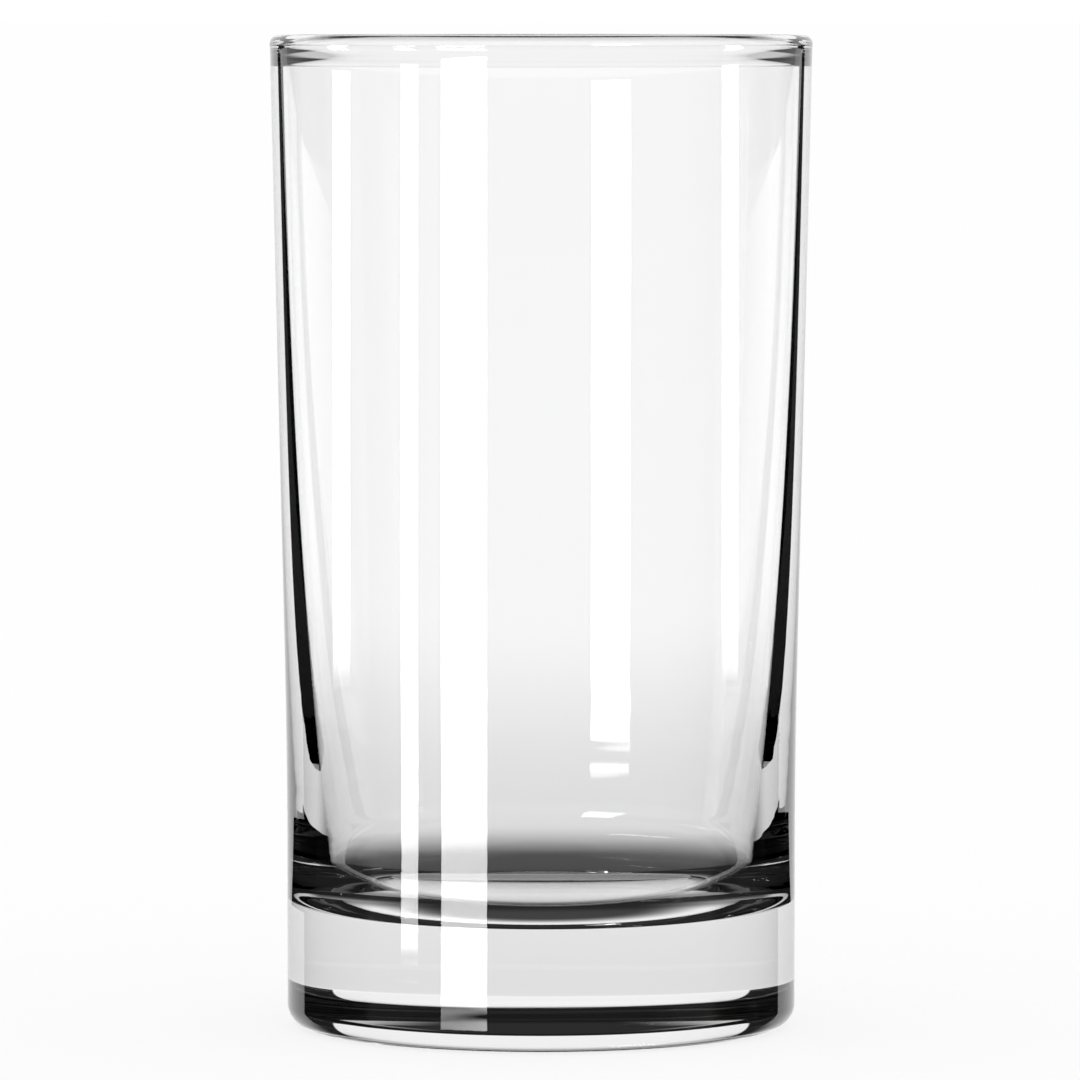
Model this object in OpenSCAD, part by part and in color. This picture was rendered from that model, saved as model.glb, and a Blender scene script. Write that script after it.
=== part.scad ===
// Highball glass: one piece of clear glass with a leaning wall, a beaded lip and a heavy base.
// The origin is on the table, on the glass's axis. Every outline below is in radius and height.

/* [Outside] */
// Height from the table to the top of the lip
glass_height = 122.5; // [100:0.5:160]
// Outside diameter of the foot, just above the heel
foot_diameter = 62.9; // [56:0.1:76]
// Outside diameter of the wall just under the lip
mouth_diameter = 66.8; // [62:0.1:82]
// Height at which the upright foot starts to bend outwards
bend_bottom = 21; // [4:0.5:24]
// Height at which the bend ends and the wall leans at a steady slope
bend_top = 46; // [30:0.5:70]

/* [Wall] */
// Wall thickness in the upper part of the glass
wall_top = 1.5; // [1:0.05:2.5]
// Wall thickness where the cavity's corner begins
wall_low = 4.8; // [2.6:0.05:6]
// Depth below the top of the lip at which the wall starts to grow thicker
swell_depth = 13; // [8:0.5:50]

/* [Lip] */
// Thickness of the beaded lip
lip_thickness = 2.4; // [1.6:0.05:3.2]
// How far the bead stands proud of the wall outside
lip_proud = 0.05; // [0:0.01:0.3]
// Height over which the wall swells into the bead
lip_swell = 1.3; // [1:0.1:4]

/* [Base] */
// Glass thickness at the centre of the base, from the table to the cavity floor
base_thickness = 13.8; // [10:0.1:26]
// Depth of the shallow dish in the cavity floor
floor_sag = 0.45; // [0.2:0.05:2.5]
// Radius of the corner between the cavity floor and the wall
corner_radius = 8.2; // [4:0.1:13]
// Lean of the cavity wall where the corner begins, in degrees
corner_lean = 6; // [3:0.1:12]
// Radius of the rounded heel
heel_radius = 2.75; // [0.6:0.05:4]

/* [Hollow under the base] */
// Height of the shallow hollow at its centre
push_up = 0.5; // [0.2:0.05:2]
// Width of the flat ring that rests on the table
bearing_width = 3; // [1:0.1:8]

/* [Hidden] */

// Number of straight steps in each rounded stretch of the outline
arc_steps = 18;
curve_steps = 24;
revolve_faces = 180;
glass_tint = [0.90, 0.94, 0.93, 0.35];

foot_r = foot_diameter / 2;
mouth_r = mouth_diameter / 2;

// The lip's half-round top sits on this height, and its swelling starts below that
lip_r = lip_thickness / 2;
lip_centre = glass_height - lip_r;
lip_start = lip_centre - lip_swell;

// Steady slope of the leaning wall, as radius gained for each unit of height
wall_slope = (mouth_r - foot_r) / (lip_start - (bend_bottom + bend_top) / 2);

// Outside radius of the plain wall at a height: upright, then a parabola, then a straight lean
function wall_radius(z) =
    z <= bend_bottom ? foot_r
    : z < bend_top ? foot_r + wall_slope * pow(z - bend_bottom, 2) / (2 * (bend_top - bend_bottom))
    : foot_r + wall_slope * (z - (bend_bottom + bend_top) / 2);

// Share of the lip's swelling reached at a height, from 0 under the lip to 1 at its round top
function lip_share(z) =
    let (u = min(1, max(0, (z - lip_start) / lip_swell)))
    u * u * (3 - 2 * u);

function outside_radius(z) = wall_radius(z) + lip_proud * lip_share(z);
function inside_radius(z) =
    outside_radius(z) - wall_top - (lip_thickness - wall_top) * lip_share(z);

// The cavity floor is a shallow dish, and its edge runs into the corner arc
rough_floor_r = foot_r - wall_low - corner_radius;
dish_tilt = 2 * atan(floor_sag / rough_floor_r);
dish_edge_z = base_thickness + floor_sag;
corner_z = dish_edge_z + corner_radius * cos(dish_tilt);
corner_top_z = corner_z - corner_radius * sin(corner_lean);
corner_top_r = wall_radius(corner_top_z) - wall_low;
corner_r = corner_top_r - corner_radius * cos(corner_lean);
dish_edge_r = corner_r + corner_radius * sin(dish_tilt);

// The flat ring lies between the heel and the shallow hollow
bearing_out_r = foot_r - heel_radius;
bearing_in_r = bearing_out_r - bearing_width;

// Points of a round stretch, angles in degrees from the radius direction
function arc(centre, radius, from, to, steps = arc_steps) =
    [for (i = [0:steps])
        let (a = from + (to - from) * i / steps)
        centre + radius * [cos(a), sin(a)]];

// Points of a shallow cap from its edge to the axis, or from the axis to its edge
function cap(edge_r, edge_z, centre_z, inwards, steps = arc_steps) =
    let (sag = centre_z - edge_z, ball = (edge_r * edge_r + sag * sag) / (2 * sag))
    [for (i = [0:steps])
        let (r = edge_r * (inwards ? steps - i : i) / steps)
        [r, centre_z - ball + sign(ball) * sqrt(ball * ball - r * r)]];

function cubic(p, t) =
    pow(1 - t, 3) * p[0] + 3 * pow(1 - t, 2) * t * p[1] + 3 * (1 - t) * t * t * p[2] + pow(t, 3) * p[3];

function levels(from, to, steps) = [for (i = [0:steps]) from + (to - from) * i / steps];

// Cavity wall from the even upper wall down to the corner, thicker and thicker on the way
swell_start = glass_height - swell_depth;
swell_top = [inside_radius(swell_start), swell_start];
swell_foot = [corner_top_r, corner_top_z];
swell_reach = (swell_start - corner_top_z) / 3;
swell_handles = [
    swell_top,
    swell_top - swell_reach * [wall_slope, 1],
    swell_foot + swell_reach * [tan(corner_lean), 1],
    swell_foot
];

hollow = cap(bearing_in_r, 0, push_up, false);
heel = arc([bearing_out_r, heel_radius], heel_radius, -90, 0);
outside_wall = [for (z = concat(levels(bend_bottom, bend_top, arc_steps), [lip_start]))
    [outside_radius(z), z]];
outside_bead = [for (z = levels(lip_start, lip_centre, arc_steps)) [outside_radius(z), z]];
lip_top = arc([outside_radius(lip_centre) - lip_r, lip_centre], lip_r, 0, 180);
inside_bead = [for (z = levels(lip_centre, lip_start, arc_steps)) [inside_radius(z), z]];
inside_wall = [for (i = [0:curve_steps]) cubic(swell_handles, i / curve_steps)];
corner = arc([corner_r, corner_z], corner_radius, -corner_lean, dish_tilt - 90);
cavity_floor = cap(dish_edge_r, dish_edge_z, base_thickness, true);

// Leaves out each point that repeats the one before it
function distinct(points) =
    [for (i = [0:len(points) - 1])
        if (i == 0 || norm(points[i] - points[i - 1]) > 0.001) points[i]];

glass_outline = distinct(concat(
    hollow, heel, outside_wall, outside_bead, lip_top,
    inside_bead, inside_wall, corner, cavity_floor
));

module tumbler() {
    color(glass_tint)
        rotate_extrude($fn = revolve_faces)
            polygon(glass_outline);
}

tumbler();
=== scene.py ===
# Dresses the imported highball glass: one lathed piece of clear glass, lit like a studio glass shot.

import math

import bmesh
import bpy
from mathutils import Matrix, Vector


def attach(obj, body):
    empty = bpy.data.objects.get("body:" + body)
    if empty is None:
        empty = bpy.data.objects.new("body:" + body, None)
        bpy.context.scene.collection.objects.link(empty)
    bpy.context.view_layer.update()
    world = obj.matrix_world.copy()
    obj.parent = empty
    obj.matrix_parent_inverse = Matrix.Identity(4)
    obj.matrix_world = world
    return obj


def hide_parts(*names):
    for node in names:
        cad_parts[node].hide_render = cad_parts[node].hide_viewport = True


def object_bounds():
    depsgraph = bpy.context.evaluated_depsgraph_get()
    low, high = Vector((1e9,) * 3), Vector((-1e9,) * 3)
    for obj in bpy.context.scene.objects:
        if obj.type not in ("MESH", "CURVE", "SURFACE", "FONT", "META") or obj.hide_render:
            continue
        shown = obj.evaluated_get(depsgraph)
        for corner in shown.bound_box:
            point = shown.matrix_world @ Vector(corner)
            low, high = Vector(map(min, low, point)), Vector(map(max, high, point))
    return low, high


MM = 0.001

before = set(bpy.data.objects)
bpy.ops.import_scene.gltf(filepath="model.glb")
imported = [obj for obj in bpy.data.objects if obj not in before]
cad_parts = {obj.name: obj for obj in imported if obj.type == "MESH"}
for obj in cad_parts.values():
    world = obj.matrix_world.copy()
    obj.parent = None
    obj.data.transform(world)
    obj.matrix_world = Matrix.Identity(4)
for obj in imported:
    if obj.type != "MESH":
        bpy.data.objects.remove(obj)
cad_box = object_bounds()

# Sizes of the glass, the same as in the part's source but for the lengths of the lip's swellings.
# The overall height comes from the frame.
glass_height = cad_box[1].z
foot_r = 31.45 * MM
mouth_r = 33.4 * MM
bend_bottom = 21 * MM
bend_top = 46 * MM
wall_top = 1.5 * MM
wall_low = 4.8 * MM
swell_depth = 13 * MM
lip_thickness = 2.4 * MM
lip_proud = 0.05 * MM
lip_swell = 1.3 * MM
lip_swell_outside = 0.5 * MM
lip_swell_inside = 2.6 * MM
base_thickness = 13.8 * MM
floor_sag = 0.45 * MM
corner_radius = 8.2 * MM
corner_lean = math.radians(6)
heel_radius = 2.75 * MM
push_up = 0.5 * MM
bearing_width = 3 * MM

# Steps of the lathed outline
STEPS_AROUND = 256
ARC_STEPS = 24
CORNER_STEPS = 40
WALL_STEPS = 72
CAP_STEPS = 20
RING_STEPS = 6
# Outline points closer than the first are left out, and mesh points closer than the second are joined
SAME_POINT = 2e-6
WELD_DISTANCE = 1e-6

# Glass: how strongly it bends light, and the faint ripples low on its wall
GLASS_IOR = 1.52
RIPPLE_HEIGHT = 0.02 * MM
RIPPLE_SCALE = (30, 30, 300)
RIPPLES_END = 60 * MM
RIPPLES_FULL = 30 * MM

lip_r = lip_thickness / 2
lip_centre = glass_height - lip_r
lip_start = lip_centre - lip_swell
swell_start = glass_height - swell_depth
bearing_out_r = foot_r - heel_radius
wall_slope = (mouth_r - foot_r) / (lip_start - (bend_bottom + bend_top) / 2)


def wall_radius(z):
    """Outside radius of the plain wall: upright, then a parabola, then a straight lean."""
    if z <= bend_bottom:
        return foot_r
    if z < bend_top:
        return foot_r + wall_slope * (z - bend_bottom) ** 2 / (2 * (bend_top - bend_bottom))
    return foot_r + wall_slope * (z - (bend_bottom + bend_top) / 2)


def lip_share(z, swell):
    """Share of the lip's swelling reached at a height, for a swelling of that length under the lip."""
    u = min(1, max(0, (z - lip_centre + swell) / swell))
    return u * u * (3 - 2 * u)


def outside_radius(z):
    return wall_radius(z) + lip_proud * lip_share(z, lip_swell_outside)


def inside_radius(z):
    return outside_radius(z) - wall_top - (lip_thickness - wall_top) * lip_share(z, lip_swell_inside)


def eased(start, end, steps):
    """Levels from start to end, closer together towards both ends."""
    return [start + (end - start) * (1 - math.cos(math.pi * i / steps)) / 2 for i in range(steps + 1)]


def arc(centre_r, centre_z, radius, start, end, steps=ARC_STEPS):
    turns = [start + (end - start) * i / steps for i in range(steps + 1)]
    return [(centre_r + radius * math.cos(a), centre_z + radius * math.sin(a)) for a in turns]


def cap(edge_r, edge_z, centre_z, steps=CAP_STEPS):
    """Shallow round cap from the axis to its edge."""
    sag = centre_z - edge_z
    ball = (edge_r ** 2 + sag ** 2) / (2 * sag)
    points = []
    for i in range(steps + 1):
        r = edge_r * i / steps
        points.append((r, centre_z - ball + math.copysign(math.sqrt(ball ** 2 - r ** 2), ball)))
    return points


def cubic(p, t):
    weights = ((1 - t) ** 3, 3 * (1 - t) ** 2 * t, 3 * (1 - t) * t * t, t ** 3)
    return tuple(sum(w * q[k] for w, q in zip(weights, p)) for k in (0, 1))


def cavity_runs():
    """Outline of the cavity from under the bead down to the middle of its floor."""
    dish_tilt = 2 * math.atan(floor_sag / (foot_r - wall_low - corner_radius))
    dish_edge_z = base_thickness + floor_sag
    corner_z = dish_edge_z + corner_radius * math.cos(dish_tilt)
    corner_top_z = corner_z - corner_radius * math.sin(corner_lean)
    corner_top_r = wall_radius(corner_top_z) - wall_low
    corner_r = corner_top_r - corner_radius * math.cos(corner_lean)
    dish_edge_r = corner_r + corner_radius * math.sin(dish_tilt)
    reach = (swell_start - corner_top_z) / 3
    top_r = inside_radius(swell_start)
    handles = (
        (top_r, swell_start),
        (top_r - reach * wall_slope, swell_start - reach),
        (corner_top_r + reach * math.tan(corner_lean), corner_top_z + reach),
        (corner_top_r, corner_top_z),
    )
    return [
        [(inside_radius(z), z) for z in eased(lip_centre, lip_centre - lip_swell_inside, ARC_STEPS)],
        [(inside_radius(z), z) for z in eased(lip_centre - lip_swell_inside, swell_start, WALL_STEPS // 3)],
        [cubic(handles, t) for t in eased(0, 1, WALL_STEPS)],
        arc(corner_r, corner_z, corner_radius, -corner_lean, dish_tilt - math.pi / 2, CORNER_STEPS),
        cap(dish_edge_r, dish_edge_z, base_thickness)[::-1],
    ]


def underside_runs():
    """Outline under the base from the middle of the shallow hollow to the end of the heel."""
    bearing_in_r = bearing_out_r - bearing_width
    return [
        cap(bearing_in_r, 0, push_up),
        [(r, 0) for r in eased(bearing_in_r, bearing_out_r, RING_STEPS)],
        arc(bearing_out_r, heel_radius, heel_radius, -math.pi / 2, 0),
    ]


def glass_outline():
    """Outline of the glass in radius and height, from under the base round to the cavity floor."""
    stretches = underside_runs() + [
        [(outside_radius(z), z) for z in eased(heel_radius, lip_start, WALL_STEPS)],
        [(outside_radius(z), z) for z in eased(lip_start, lip_centre, ARC_STEPS)],
        arc(outside_radius(lip_centre) - lip_r, lip_centre, lip_r, 0, math.pi, 2 * ARC_STEPS),
    ] + cavity_runs()
    outline = []
    for point in (p for stretch in stretches for p in stretch):
        if not outline or math.dist(point, outline[-1]) > SAME_POINT:
            outline.append(point)
    return outline


def lathe_tree():
    """Geometry Nodes tree that turns an outline curve about the Z axis into a closed body."""
    tree = bpy.data.node_groups.new("lathe_outline", "GeometryNodeTree")
    sockets = tree.interface
    sockets.new_socket("Outline", in_out="INPUT", socket_type="NodeSocketGeometry")
    sockets.new_socket("Steps Around", in_out="INPUT", socket_type="NodeSocketInt")
    sockets.new_socket("Weld Distance", in_out="INPUT", socket_type="NodeSocketFloat")
    sockets.new_socket("Material", in_out="INPUT", socket_type="NodeSocketMaterial")
    sockets.new_socket("Body", in_out="OUTPUT", socket_type="NodeSocketGeometry")
    nodes, links = tree.nodes, tree.links

    def add(kind, **settings):
        made = nodes.new(kind)
        for key, value in settings.items():
            setattr(made, key, value)
        return made

    inputs = add("NodeGroupInput")
    output = add("NodeGroupOutput")
    size = add("GeometryNodeAttributeDomainSize", component="CURVE")
    links.new(inputs.outputs["Outline"], size.inputs["Geometry"])

    columns = add("FunctionNodeIntegerMath", operation="ADD")
    links.new(inputs.outputs["Steps Around"], columns.inputs[0])
    columns.inputs[1].default_value = 1
    grid = add("GeometryNodeMeshGrid")
    links.new(columns.outputs[0], grid.inputs["Vertices X"])
    links.new(size.outputs["Point Count"], grid.inputs["Vertices Y"])

    index = add("GeometryNodeInputIndex")
    row = add("FunctionNodeIntegerMath", operation="MODULO")
    links.new(index.outputs[0], row.inputs[0])
    links.new(size.outputs["Point Count"], row.inputs[1])
    column = add("FunctionNodeIntegerMath", operation="DIVIDE_FLOOR")
    links.new(index.outputs[0], column.inputs[0])
    links.new(size.outputs["Point Count"], column.inputs[1])

    place = add("GeometryNodeInputPosition")
    sample = add("GeometryNodeSampleIndex", data_type="FLOAT_VECTOR", domain="POINT")
    links.new(inputs.outputs["Outline"], sample.inputs["Geometry"])
    links.new(place.outputs[0], sample.inputs["Value"])
    links.new(row.outputs[0], sample.inputs["Index"])

    share = add("ShaderNodeMath", operation="DIVIDE")
    links.new(column.outputs[0], share.inputs[0])
    links.new(inputs.outputs["Steps Around"], share.inputs[1])
    angle = add("ShaderNodeMath", operation="MULTIPLY")
    links.new(share.outputs[0], angle.inputs[0])
    angle.inputs[1].default_value = 2 * math.pi
    turn = add("ShaderNodeVectorRotate", rotation_type="Z_AXIS")
    links.new(sample.outputs[0], turn.inputs["Vector"])
    links.new(angle.outputs[0], turn.inputs["Angle"])

    move = add("GeometryNodeSetPosition")
    links.new(grid.outputs["Mesh"], move.inputs["Geometry"])
    links.new(turn.outputs[0], move.inputs["Position"])
    weld = add("GeometryNodeMergeByDistance")
    links.new(move.outputs[0], weld.inputs["Geometry"])
    links.new(inputs.outputs["Weld Distance"], weld.inputs["Distance"])
    smooth = add("GeometryNodeSetShadeSmooth")
    links.new(weld.outputs[0], smooth.inputs["Geometry"])
    realize = add("GeometryNodeRealizeInstances")
    links.new(smooth.outputs[0], realize.inputs["Geometry"])
    finish = add("GeometryNodeSetMaterial")
    links.new(realize.outputs[0], finish.inputs["Geometry"])
    links.new(inputs.outputs["Material"], finish.inputs["Material"])
    links.new(finish.outputs[0], output.inputs["Body"])
    return tree


def set_inputs(modifier, values):
    for item in modifier.node_group.interface.items_tree:
        if item.in_out == "INPUT" and item.name in values:
            modifier[item.identifier] = values[item.name]


def lathe_glass(material):
    """The glass as one plain mesh at the origin."""
    curve = bpy.data.curves.new("glass_outline", "CURVE")
    curve.dimensions = "3D"
    points = glass_outline()
    spline = curve.splines.new("POLY")
    spline.points.add(len(points) - 1)
    for target, (r, z) in zip(spline.points, points):
        target.co = (r, 0, z, 1)
    maker = bpy.data.objects.new("glass_outline", curve)
    bpy.context.collection.objects.link(maker)
    modifier = maker.modifiers.new("lathe", "NODES")
    modifier.node_group = lathe_tree()
    set_inputs(modifier, {
        "Steps Around": STEPS_AROUND,
        "Weld Distance": WELD_DISTANCE,
        "Material": material,
    })
    graph = bpy.context.evaluated_depsgraph_get()
    mesh = bpy.data.meshes.new_from_object(maker.evaluated_get(graph), depsgraph=graph)
    bpy.data.objects.remove(maker)
    bpy.data.curves.remove(curve)

    body = bmesh.new()
    body.from_mesh(mesh)
    bmesh.ops.recalc_face_normals(body, faces=body.faces)
    if body.calc_volume(signed=True) < 0:
        bmesh.ops.reverse_faces(body, faces=body.faces)
    body.to_mesh(mesh)
    body.free()
    mesh.name = "tumbler_glass"
    glass = bpy.data.objects.new("tumbler_glass", mesh)
    bpy.context.collection.objects.link(glass)
    return glass


def calc(tree, operation, first, second=None, third=None):
    """A Math node on plain numbers or on what other nodes put out."""
    made = tree.nodes.new("ShaderNodeMath")
    made.operation = operation
    for socket, value in zip(made.inputs, (first, second, third)):
        if isinstance(value, (int, float)):
            socket.default_value = value
        elif value is not None:
            tree.links.new(value, socket)
    return made.outputs[0]


def ramp(tree, value, low, high, at_low, at_high):
    """A smooth change from one level to another while a value goes from low to high."""
    made = tree.nodes.new("ShaderNodeMapRange")
    made.interpolation_type = "SMOOTHSTEP"
    for socket, number in zip(made.inputs[1:5], (low, high, at_low, at_high)):
        socket.default_value = number
    tree.links.new(value, made.inputs["Value"])
    return made.outputs[0]


def object_place(tree):
    """Object coordinates, whole and split into X, Y and Z."""
    where = tree.nodes.new("ShaderNodeTexCoord")
    split = tree.nodes.new("ShaderNodeSeparateXYZ")
    tree.links.new(where.outputs["Object"], split.inputs[0])
    return where.outputs["Object"], split.outputs


def clear_glass():
    """Clear glass with faint level ripples low on the wall, left by the mould."""
    material = bpy.data.materials.new("clear_glass")
    material.use_nodes = True
    tree = material.node_tree
    nodes, links = tree.nodes, tree.links
    shader = nodes["Principled BSDF"]
    shader.inputs["Base Color"].default_value = (1, 1, 1, 1)
    shader.inputs["Roughness"].default_value = 0
    shader.inputs["IOR"].default_value = GLASS_IOR
    shader.inputs["Transmission Weight"].default_value = 1

    place, axes = object_place(tree)
    stretch = nodes.new("ShaderNodeMapping")
    stretch.inputs["Scale"].default_value = RIPPLE_SCALE
    links.new(place, stretch.inputs["Vector"])
    waves = nodes.new("ShaderNodeTexNoise")
    waves.inputs["Scale"].default_value = 1
    waves.inputs["Detail"].default_value = 1
    links.new(stretch.outputs[0], waves.inputs["Vector"])
    low_only = ramp(tree, axes["Z"], RIPPLES_END, RIPPLES_FULL, 0, 1)
    bump = nodes.new("ShaderNodeBump")
    bump.inputs["Strength"].default_value = 1
    bump.inputs["Distance"].default_value = RIPPLE_HEIGHT
    links.new(calc(tree, "MULTIPLY", waves.outputs[0], low_only), bump.inputs["Height"])
    links.new(bump.outputs[0], shader.inputs["Normal"])
    return material


# Studio: distances in metres, angles in degrees. Azimuth 0 is towards the camera, 90 to its right.
# A level or strength of 1 is white. Light is called turned once a face of the glass has thrown it back.
CAMERA_PLACE = (-0.00014, -1.0365, 0.1261)
CAMERA_PITCH = 3.642
CAMERA_LENS = 279.9

FLOOR_RADIUS = 60
FLOOR_CORNER_STEP = 6
# The floor lies a little under the bearing ring, so that the two don't share one plane
FLOOR_DROP = 0.1 * MM
FLOOR_PAINT = (0.95, 0.95, 0.95, 1)
# Share of plain white in the floor that the camera sees
FLOOR_GLOW = 0.82

# Floor seen through the glass: its level near the glass and further out, darker near the glass as painted
# shade
FLOOR_NEAR, FLOOR_FAR = 0.05, 0.42
FLOOR_NEAR_LEVEL, FLOOR_FAR_LEVEL = 0.8, 1.08
# Painted shade: it darkens where the light meets it steeply, within a short way of the glass unless the light
# is turned
FLOOR_WHITE_BELOW, FLOOR_DARK_ABOVE = 17, 41
FLOOR_DARK_LEVEL = 0.1
STEEP_FULL, STEEP_END = 0.075, 0.095
# Painted shade: turned light finds it dark beside and in front of the glass, by the cosine of the bearing
# from straight back
FLOOR_FRONT_FROM, FLOOR_FRONT_TO = 0.3, 0.6
FLOOR_FRONT_LEVEL = 0.12
# Painted shade: light turned three times or more finds it dark everywhere
OFTEN_TURNED_LEVEL = 0.1

# Floor under the glass, darker towards the bearing ring: a painted shadow
UNDER_WHITE_BELOW, UNDER_DARK_ABOVE = 25, 62
UNDER_DARK_LEVEL = 0.05
UNDER_EDGE_FROM, UNDER_EDGE_TO = 0.023, 0.028
UNDER_EDGE_LEVEL = 0.3

# Backdrop that the glass shows: half its width, and the slopes between which it fades to dark
BACKDROP_HALF_WIDTH = 43.5
BACKDROP_EDGE = 0.02
BACKDROP_LEVEL = 0.95
WHITE_BELOW, DARK_ABOVE = 20, 40
DARK_LEVEL = 0.012
TURNED_LEVEL = 0.02
# Smallest depth that a width or height is divided by
LEAST_DEPTH = 0.001

# Grey room in front of the glass, by the depth and height of a direction of length 1
FRONT_LEVEL = 0.16
ROOM_FULL, ROOM_END = -0.15, -0.02
ROOM_LOW, ROOM_HIGH = 0.3, 0.7

# Pale wall for light turned once: the slopes and the bearings between which it comes in
PALE_LEVEL = 0.6
PALE_SLOPES = (10, 15)
PALE_BEARINGS = (12, 42)
LESS_THAN_TWICE = 1.5

# Dark cards just above the floor, and the share of the floor's radius that they reach
CARD_HEIGHT = 0.5 * MM
CARD_REACH = 0.95
CARD_OUTER_REACH = 0.8

STRIP_STRENGTH = 14
NEAR_STRIP_RADIUS = 0.34
FAR_STRIP_RADIUS = 0.7
# Faces that light crosses on its way in, off the inside of the far wall and out again
FACES_CROSSED = 4
PANEL_STRENGTH = 0.6


def compass(azimuth, radius, z=0):
    a = math.radians(azimuth)
    return Vector((radius * math.sin(a), -radius * math.cos(a), z))


def stage_object(name, verts, faces, material):
    mesh = bpy.data.meshes.new(name)
    mesh.from_pydata(verts, [], faces)
    mesh.materials.append(material)
    item = bpy.data.objects.new(name, mesh)
    bpy.context.collection.objects.link(item)
    return item


def only_in_glass(item):
    """Hides a stage object from all but the light that the glass reflects or lets through."""
    item.visible_camera = False
    item.visible_diffuse = False
    item.visible_shadow = False
    return item


def new_shader(name):
    material = bpy.data.materials.new(name)
    material.use_nodes = True
    tree = material.node_tree
    tree.nodes.clear()
    return material, tree, tree.nodes.new("ShaderNodeOutputMaterial")


def blend(tree, share, at_none, at_full):
    """A value between two others, by a share from 0 to 1."""
    made = tree.nodes.new("ShaderNodeMix")
    for name, value in (("Factor", share), ("A", at_none), ("B", at_full)):
        if isinstance(value, (int, float)):
            made.inputs[name].default_value = value
        else:
            tree.links.new(value, made.inputs[name])
    return made.outputs[0]


def mix_shaders(tree, share, at_none, at_full):
    """A mix of two shaders, by a share from 0 to 1."""
    made = tree.nodes.new("ShaderNodeMixShader")
    if isinstance(share, (int, float)):
        made.inputs["Fac"].default_value = share
    else:
        tree.links.new(share, made.inputs["Fac"])
    tree.links.new(at_none, made.inputs[1])
    tree.links.new(at_full, made.inputs[2])
    return made.outputs[0]


def facing(tree):
    """1 where light grazes a level surface, 0 where it meets it straight on."""
    slant = tree.nodes.new("ShaderNodeLayerWeight")
    slant.inputs["Blend"].default_value = 0.5
    return slant.outputs["Facing"]


def painted_floor_level(tree, path):
    """Level of the floor seen through the glass, by slope, place and the turns that the light has taken:
    painted shade and shadow, not cast by the lamps.
    """
    place, axes = object_place(tree)
    reach = tree.nodes.new("ShaderNodeVectorMath")
    reach.operation = "LENGTH"
    tree.links.new(place, reach.inputs[0])
    distance = reach.outputs["Value"]
    bearing = calc(tree, "DIVIDE", axes["Y"], distance)
    steepness = calc(tree, "SUBTRACT", 1, facing(tree))
    turned = ramp(tree, path["Glossy Depth"], 0, 1, 0, 1)
    often_turned = ramp(tree, path["Glossy Depth"], 2, 3, 1, OFTEN_TURNED_LEVEL)

    def slope_fade(white_below, dark_above, dark_level):
        low, high = (math.sin(math.radians(a)) for a in (white_below, dark_above))
        return ramp(tree, steepness, low, high, 1, dark_level)

    # Painted shade: darker where the light meets the floor steeply near the glass, and beside and in front of
    # it for turned light
    shaded = calc(tree, "MAXIMUM", turned, ramp(tree, distance, STEEP_FULL, STEEP_END, 1, 0))
    sloped = blend(tree, shaded, 1, slope_fade(FLOOR_WHITE_BELOW, FLOOR_DARK_ABOVE, FLOOR_DARK_LEVEL))
    front = ramp(tree, bearing, FLOOR_FRONT_FROM, FLOOR_FRONT_TO, FLOOR_FRONT_LEVEL, 1)
    sided = blend(tree, turned, 1, front)
    outward = ramp(tree, distance, FLOOR_NEAR, FLOOR_FAR, FLOOR_NEAR_LEVEL, FLOOR_FAR_LEVEL)
    around = calc(tree, "MULTIPLY", outward, calc(tree, "MULTIPLY", sloped, sided))
    # Painted shadow on the floor under the glass, darker towards the bearing ring
    under_edge = ramp(tree, distance, UNDER_EDGE_FROM, UNDER_EDGE_TO, 1, UNDER_EDGE_LEVEL)
    under_slope = slope_fade(UNDER_WHITE_BELOW, UNDER_DARK_ABOVE, UNDER_DARK_LEVEL)
    under = calc(tree, "MULTIPLY", under_slope, under_edge)
    level = blend(tree, ramp(tree, distance, bearing_out_r, foot_r, 0, 1), under, around)
    return calc(tree, "MULTIPLY", level, often_turned)


def white_floor():
    """Pale floor that keeps a soft shadow, and has a level of its own for light through the glass, with
    painted shade near and under the glass.
    """
    material, tree, out = new_shader("white_floor")
    path = tree.nodes.new("ShaderNodeLightPath").outputs
    paint = tree.nodes.new("ShaderNodeBsdfDiffuse")
    paint.inputs["Color"].default_value = FLOOR_PAINT
    white = tree.nodes.new("ShaderNodeEmission")
    seen = mix_shaders(tree, FLOOR_GLOW, paint.outputs[0], white.outputs[0])
    # Through the glass the floor glows at its painted level, shade included, instead of being lit
    through = tree.nodes.new("ShaderNodeEmission")
    tree.links.new(painted_floor_level(tree, path), through.inputs["Strength"])
    first = mix_shaders(tree, path["Is Camera Ray"], paint.outputs[0], seen)
    both = mix_shaders(tree, path["Is Transmission Ray"], first, through.outputs[0])
    tree.links.new(both, out.inputs["Surface"])

    ring = [compass(a, FLOOR_RADIUS, -FLOOR_DROP) for a in range(0, 360, FLOOR_CORNER_STEP)]
    floor = stage_object("floor", ring, [tuple(range(len(ring)))], material)
    floor.visible_glossy = False
    return floor


def tangents(angles):
    return [math.tan(math.radians(a)) for a in angles]


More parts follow.
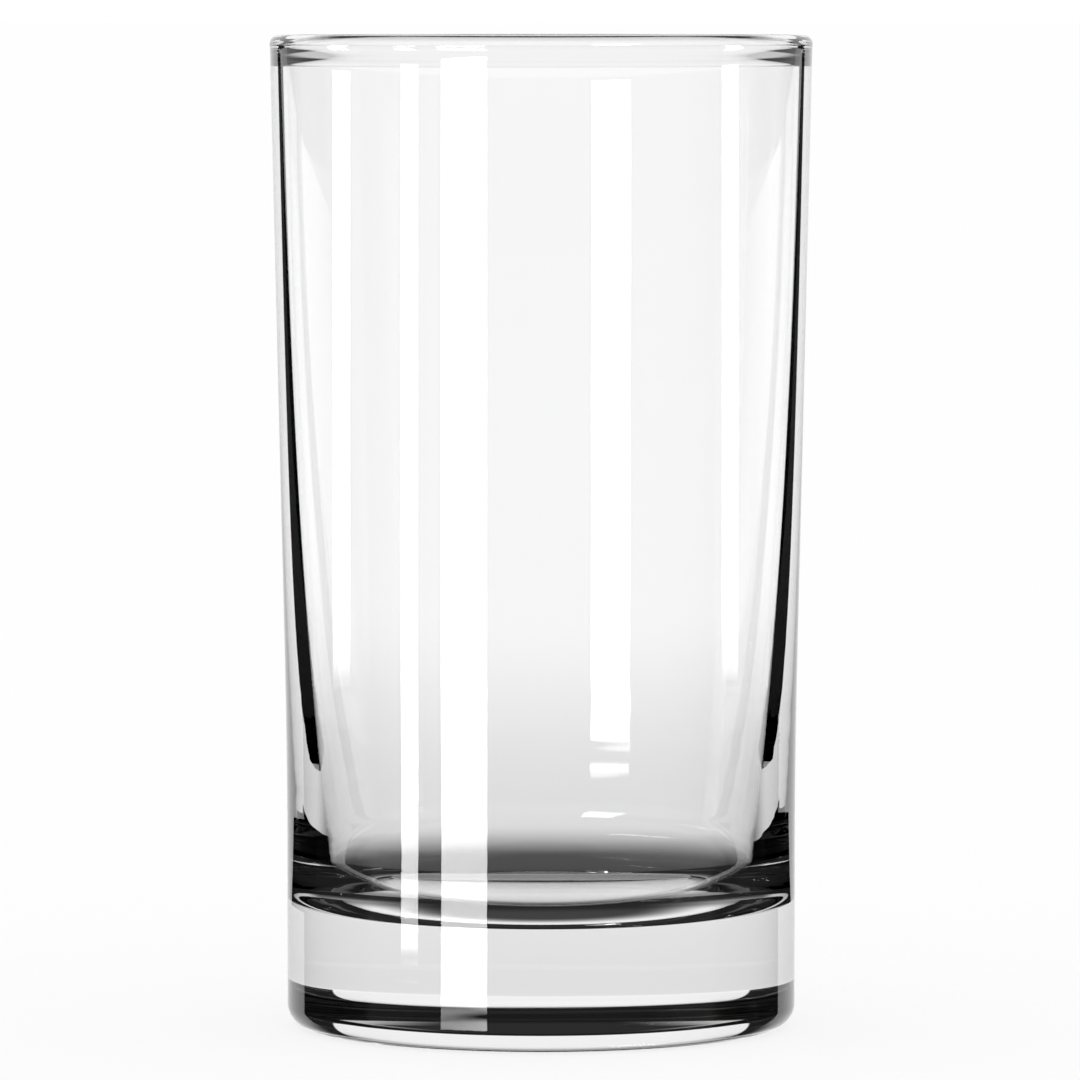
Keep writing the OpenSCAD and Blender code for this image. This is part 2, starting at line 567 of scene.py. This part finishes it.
def studio_level(tree, path):
    """Level that the glass sees in each direction: white behind it, grey in front and dark above."""
    where = tree.nodes.new("ShaderNodeTexCoord")
    split = tree.nodes.new("ShaderNodeSeparateXYZ")
    tree.links.new(where.outputs["Generated"], split.inputs[0])
    x, y, z = split.outputs
    height = calc(tree, "ABSOLUTE", z)
    depth = calc(tree, "MAXIMUM", y, LEAST_DEPTH)
    sideways = calc(tree, "DIVIDE", calc(tree, "ABSOLUTE", x), depth)
    through = path["Is Transmission Ray"]
    turned = calc(tree, "MINIMUM", path["Glossy Depth"], through)

    edge = math.tan(math.radians(BACKDROP_HALF_WIDTH))
    width = ramp(tree, sideways, edge * (1 - BACKDROP_EDGE), edge * (1 + BACKDROP_EDGE), 1, 0)
    upward = ramp(tree, calc(tree, "DIVIDE", height, depth), *tangents((WHITE_BELOW, DARK_ABOVE)), 1, 0)
    backdrop = calc(tree, "MULTIPLY", calc(tree, "MULTIPLY", width, upward), BACKDROP_LEVEL)
    backdrop = calc(tree, "MULTIPLY", backdrop, ramp(tree, turned, 0, 1, 1, TURNED_LEVEL))

    room = ramp(tree, y, ROOM_FULL, ROOM_END, FRONT_LEVEL, 0)
    room = calc(tree, "MULTIPLY", room, ramp(tree, height, ROOM_LOW, ROOM_HIGH, 1, 0))
    room = calc(tree, "MULTIPLY", room, calc(tree, "SUBTRACT", 1, through))

    low, high = (math.sin(math.radians(a)) for a in PALE_SLOPES)
    once = calc(tree, "MULTIPLY", turned, calc(tree, "LESS_THAN", path["Glossy Depth"], LESS_THAN_TWICE))
    pale = calc(tree, "MULTIPLY", once, ramp(tree, z, low, high, 0, PALE_LEVEL))
    pale = calc(tree, "MULTIPLY", pale, ramp(tree, sideways, *tangents(PALE_BEARINGS), 0, 1))

    level = calc(tree, "MAXIMUM", calc(tree, "MAXIMUM", backdrop, room), DARK_LEVEL)
    return calc(tree, "MAXIMUM", level, pale)


def studio_world():
    """Even white light, with a level of its own for what the glass reflects or lets through."""
    world = bpy.data.worlds.new("studio")
    bpy.context.scene.world = world
    world.use_nodes = True
    tree = world.node_tree
    tree.nodes.clear()
    out = tree.nodes.new("ShaderNodeOutputWorld")
    path = tree.nodes.new("ShaderNodeLightPath").outputs
    plain = tree.nodes.new("ShaderNodeBackground")
    plain.inputs["Color"].default_value = (1, 1, 1, 1)
    in_glass = tree.nodes.new("ShaderNodeBackground")
    in_glass.inputs["Color"].default_value = (1, 1, 1, 1)
    tree.links.new(studio_level(tree, path), in_glass.inputs["Strength"])
    either = calc(tree, "MAXIMUM", path["Is Glossy Ray"], path["Is Transmission Ray"])
    both = mix_shaders(tree, either, plain.outputs[0], in_glass.outputs[0])
    tree.links.new(both, out.inputs["Surface"])


def camera():
    data = bpy.data.cameras.new("camera")
    data.sensor_width = 36
    data.lens = CAMERA_LENS
    data.clip_start = 0.05
    data.clip_end = 100
    eye = bpy.data.objects.new("camera", data)
    bpy.context.collection.objects.link(eye)
    eye.location = CAMERA_PLACE
    eye.rotation_euler = (math.radians(90 - CAMERA_PITCH), 0, 0)
    bpy.context.scene.camera = eye


def turned_card(name, black_at=None, clear_at=None):
    """Black for turned light and clear for the rest. Two slopes limit it to light near the first of them."""
    material, tree, out = new_shader(name)
    black = tree.nodes.new("ShaderNodeEmission")
    black.inputs["Strength"].default_value = 0
    clear = tree.nodes.new("ShaderNodeBsdfTransparent")
    path = tree.nodes.new("ShaderNodeLightPath").outputs
    share = calc(tree, "GREATER_THAN", path["Glossy Depth"], 0.5)
    if black_at is not None:
        level = tree.nodes.new("ShaderNodeMapRange")
        level.inputs["From Min"].default_value = 1 - math.sin(math.radians(clear_at))
        level.inputs["From Max"].default_value = 1 - math.sin(math.radians(black_at))
        tree.links.new(facing(tree), level.inputs["Value"])
        share = calc(tree, "MULTIPLY", share, level.outputs[0])
    tree.links.new(mix_shaders(tree, share, clear.outputs[0], black.outputs[0]), out.inputs["Surface"])
    return material


def floor_card(name, points, side, material):
    """A card over the floor. Its corners are distances to one side and away from the camera."""
    verts = [(side * across, deep, CARD_HEIGHT) for across, deep in points]
    return only_in_glass(stage_object(name, verts, [tuple(range(len(verts)))], material))


def round_edge(radius, start, end, steps=6):
    """Points of a round edge about the glass, angles from straight back."""
    turns = [math.radians(start + (end - start) * i / steps) for i in range(steps + 1)]
    return [(radius * math.sin(a), radius * math.cos(a)) for a in turns]


def fan_points(nearest, spread, near_end, tip, outer_start, outer_spread, steps=14):
    """Corners of a card that fans out away from the camera, with a bent inner edge."""
    far = CARD_REACH * FLOOR_RADIUS
    reaches = [far * (near_end / far) ** (i / steps) for i in range(steps + 1)]
    inner = [(math.hypot(nearest, spread * deep), deep) for deep in reaches]
    outer = [(outer_start + outer_spread * deep, deep) for deep in (tip[1], CARD_OUTER_REACH * far)]
    return inner + [tip] + outer


def dark_cards():
    """Black cards that draw the dark streaks down the sides of the glass and its dark corners. The near, heel
    and edge cards are painted shade laid on the floor near the glass.
    """
    turned_black = turned_card("turned_black_card")
    level_black = turned_card("level_black_card", 17, 20)
    steep_black = turned_card("steep_black_card", 14, 10)
    flat_black = turned_card("flat_black_card", 9, 12)
    streak = fan_points(nearest=0.088, spread=0.46, near_end=0.09, tip=(0.107, 0.064),
                        outer_start=0.085, outer_spread=0.63)
    mirror = fan_points(nearest=0.26, spread=0.56, near_end=0.165, tip=(0.305, 0.135),
                        outer_start=0.27, outer_spread=0.62)
    # Near, heel and edge cards: painted shade on the floor near the glass, which the glass shows at its
    # corners
    near = [(0.063, 0.081), (0.07, 0.058), (0.075, 0.042), (0.083, 0.018)] + round_edge(0.045, 78, 38)
    heel = round_edge(0.13, 42, 60) + round_edge(0.113, 60, 42)
    edge = [(0.026, 0.058), (0.042, 0.088), (0.06, 0.077), (0.067, 0.066), (0.071, 0.05), (0.05, 0.045)]
    corner = round_edge(0.275, 34, 64) + round_edge(0.15, 64, 34)
    for name, side in (("left", -1), ("right", 1)):
        floor_card(f"floor_card_{name}", streak, side, level_black).visible_glossy = False
        floor_card(f"mirror_card_{name}", mirror, side, level_black).visible_transmission = False
        floor_card(f"near_card_{name}", near, side, steep_black).visible_glossy = False
        floor_card(f"heel_card_{name}", heel, side, flat_black).visible_glossy = False
        floor_card(f"edge_card_{name}", edge, side, turned_black).visible_glossy = False
        floor_card(f"corner_mirror_card_{name}", corner, side, turned_black).visible_transmission = False


def strip_glow(name, one_echo=False):
    """White glow by the strip's own fade. With one_echo, only its first echo off the far wall shows."""
    material, tree, out = new_shader(name)
    fade = tree.nodes.new("ShaderNodeAttribute")
    fade.attribute_name = "fade"
    strength = calc(tree, "MULTIPLY", fade.outputs["Fac"], STRIP_STRENGTH)
    if one_echo:
        path = tree.nodes.new("ShaderNodeLightPath").outputs
        first_echo = calc(tree, "COMPARE", path["Transmission Depth"], FACES_CROSSED, 0.5)
        strength = calc(tree, "MULTIPLY", strength, first_echo)
    light = tree.nodes.new("ShaderNodeEmission")
    tree.links.new(strength, light.inputs["Strength"])
    tree.links.new(light.outputs[0], out.inputs["Surface"])
    return material


def strip(name, radius, levels, material, steps=8):
    """A tall bright strip. A level is a glow from 0 to 1 and two ends, each an azimuth and a height in mm."""
    verts, fades, faces = [], [], []
    for level_glow, (start, start_z), (end, end_z) in levels:
        for i in range(steps + 1):
            share = i / steps
            azimuth = start + (end - start) * share
            height = (start_z + (end_z - start_z) * share) * MM
            verts.append(compass(azimuth, radius, height))
            fades.append(level_glow)
    row = steps + 1
    for low in range(0, row * (len(levels) - 1), row):
        high = low + row
        faces += [(low + i, low + i + 1, high + i + 1, high + i) for i in range(steps)]
    item = stage_object(name, verts, faces, material)
    item.data.attributes.new("fade", "FLOAT", "POINT").data.foreach_set("value", fades)
    return only_in_glass(item)


def light_strips():
    """Tall bright strips that draw the straight white lines on the wall."""
    bright = strip_glow("bright_strip")
    outside = {
        "left": (NEAR_STRIP_RADIUS, (
            (1, (-94.8, 106.7), (-84.6, 105.6)),
            (1, (-102, 23), (-90.5, 22)),
            (0, (-103.3, 9), (-91.5, 9)),
        )),
        "right": (NEAR_STRIP_RADIUS, (
            (1, (78.9, 106.1), (87.9, 107)),
            (1, (84.1, 22), (94.2, 22)),
            (0, (85.1, 9), (95.3, 9)),
        )),
        "narrow": (FAR_STRIP_RADIUS, (
            (1, (-60, 88.5), (-52, 87.5)),
            (1, (-64.2, -35), (-55.6, -35)),
            (1, (-64.7, -54), (-56, -54)),
            (0, (-64.8, -68), (-56.1, -68)),
        )),
        "main": (FAR_STRIP_RADIUS, (
            (1, (-41.7, 87.4), (-22.2, 86.4)),
            (1, (-44.5, -37), (-23.6, -37)),
            (1, (-44.9, -74.5), (-23.8, -74.5)),
            (0, (-44.9, -80), (-23.8, -80)),
        )),
    }
    for name, (radius, levels) in outside.items():
        strip(f"{name}_strip", radius, levels, bright).visible_transmission = False
    echo_levels = (
        (1, (-42, 165), (-23.3, 165)),
        (1, (-44.5, 87), (-24.6, 90)),
        (1, (-47.4, 59), (-26.1, 65)),
        (1, (-50.4, 36), (-27.7, 45.5)),
        (0, (-51.5, 27.5), (-28.2, 39)),
    )
    echo_bright = strip_glow("inner_bright_strip", one_echo=True)
    strip("inner_strip", FAR_STRIP_RADIUS, echo_levels, echo_bright).visible_glossy = False


def panel_glow(name, fade_from, fade_to):
    """An even glow that fades in upwards between two heights."""
    material, tree, out = new_shader(name)
    light = tree.nodes.new("ShaderNodeEmission")
    axes = object_place(tree)[1]
    tree.links.new(ramp(tree, axes["Z"], fade_from, fade_to, 0, PANEL_STRENGTH), light.inputs["Strength"])
    tree.links.new(light.outputs[0], out.inputs["Surface"])
    return material


def panel(name, start, end, radius, heights, material, steps=8):
    """An upright panel about the glass between two azimuths and two heights."""
    verts = []
    for i in range(steps + 1):
        azimuth = start + (end - start) * i / steps
        verts += [compass(azimuth, radius, z) for z in heights]
    faces = [(2 * i, 2 * i + 2, 2 * i + 3, 2 * i + 1) for i in range(steps)]
    item = only_in_glass(stage_object(name, verts, faces, material))
    item.visible_transmission = False


def side_panels():
    """White panels beside the glass, which only its mirror reflections see."""
    near_white = panel_glow("near_white_panel", -0.012, 0.002)
    far_white = panel_glow("far_white_panel", -0.24, -0.21)
    for name, side in (("right", 1), ("left", -1)):
        panel(f"near_panel_{name}", 80 * side, 120 * side, 0.45, (-0.015, 0.125), near_white)
        panel(f"far_panel_{name}", 120 * side, 137 * side, 3, (-0.25, 0.15), far_white)


glass = lathe_glass(clear_glass())
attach(glass, "root")
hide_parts("tumbler")

camera()
white_floor()
studio_world()
dark_cards()
light_strips()
side_panels()

scene = bpy.context.scene
scene.view_settings.view_transform = "Standard"
scene.cycles.max_bounces = 32
scene.cycles.glossy_bounces = 16
scene.cycles.transmission_bounces = 32
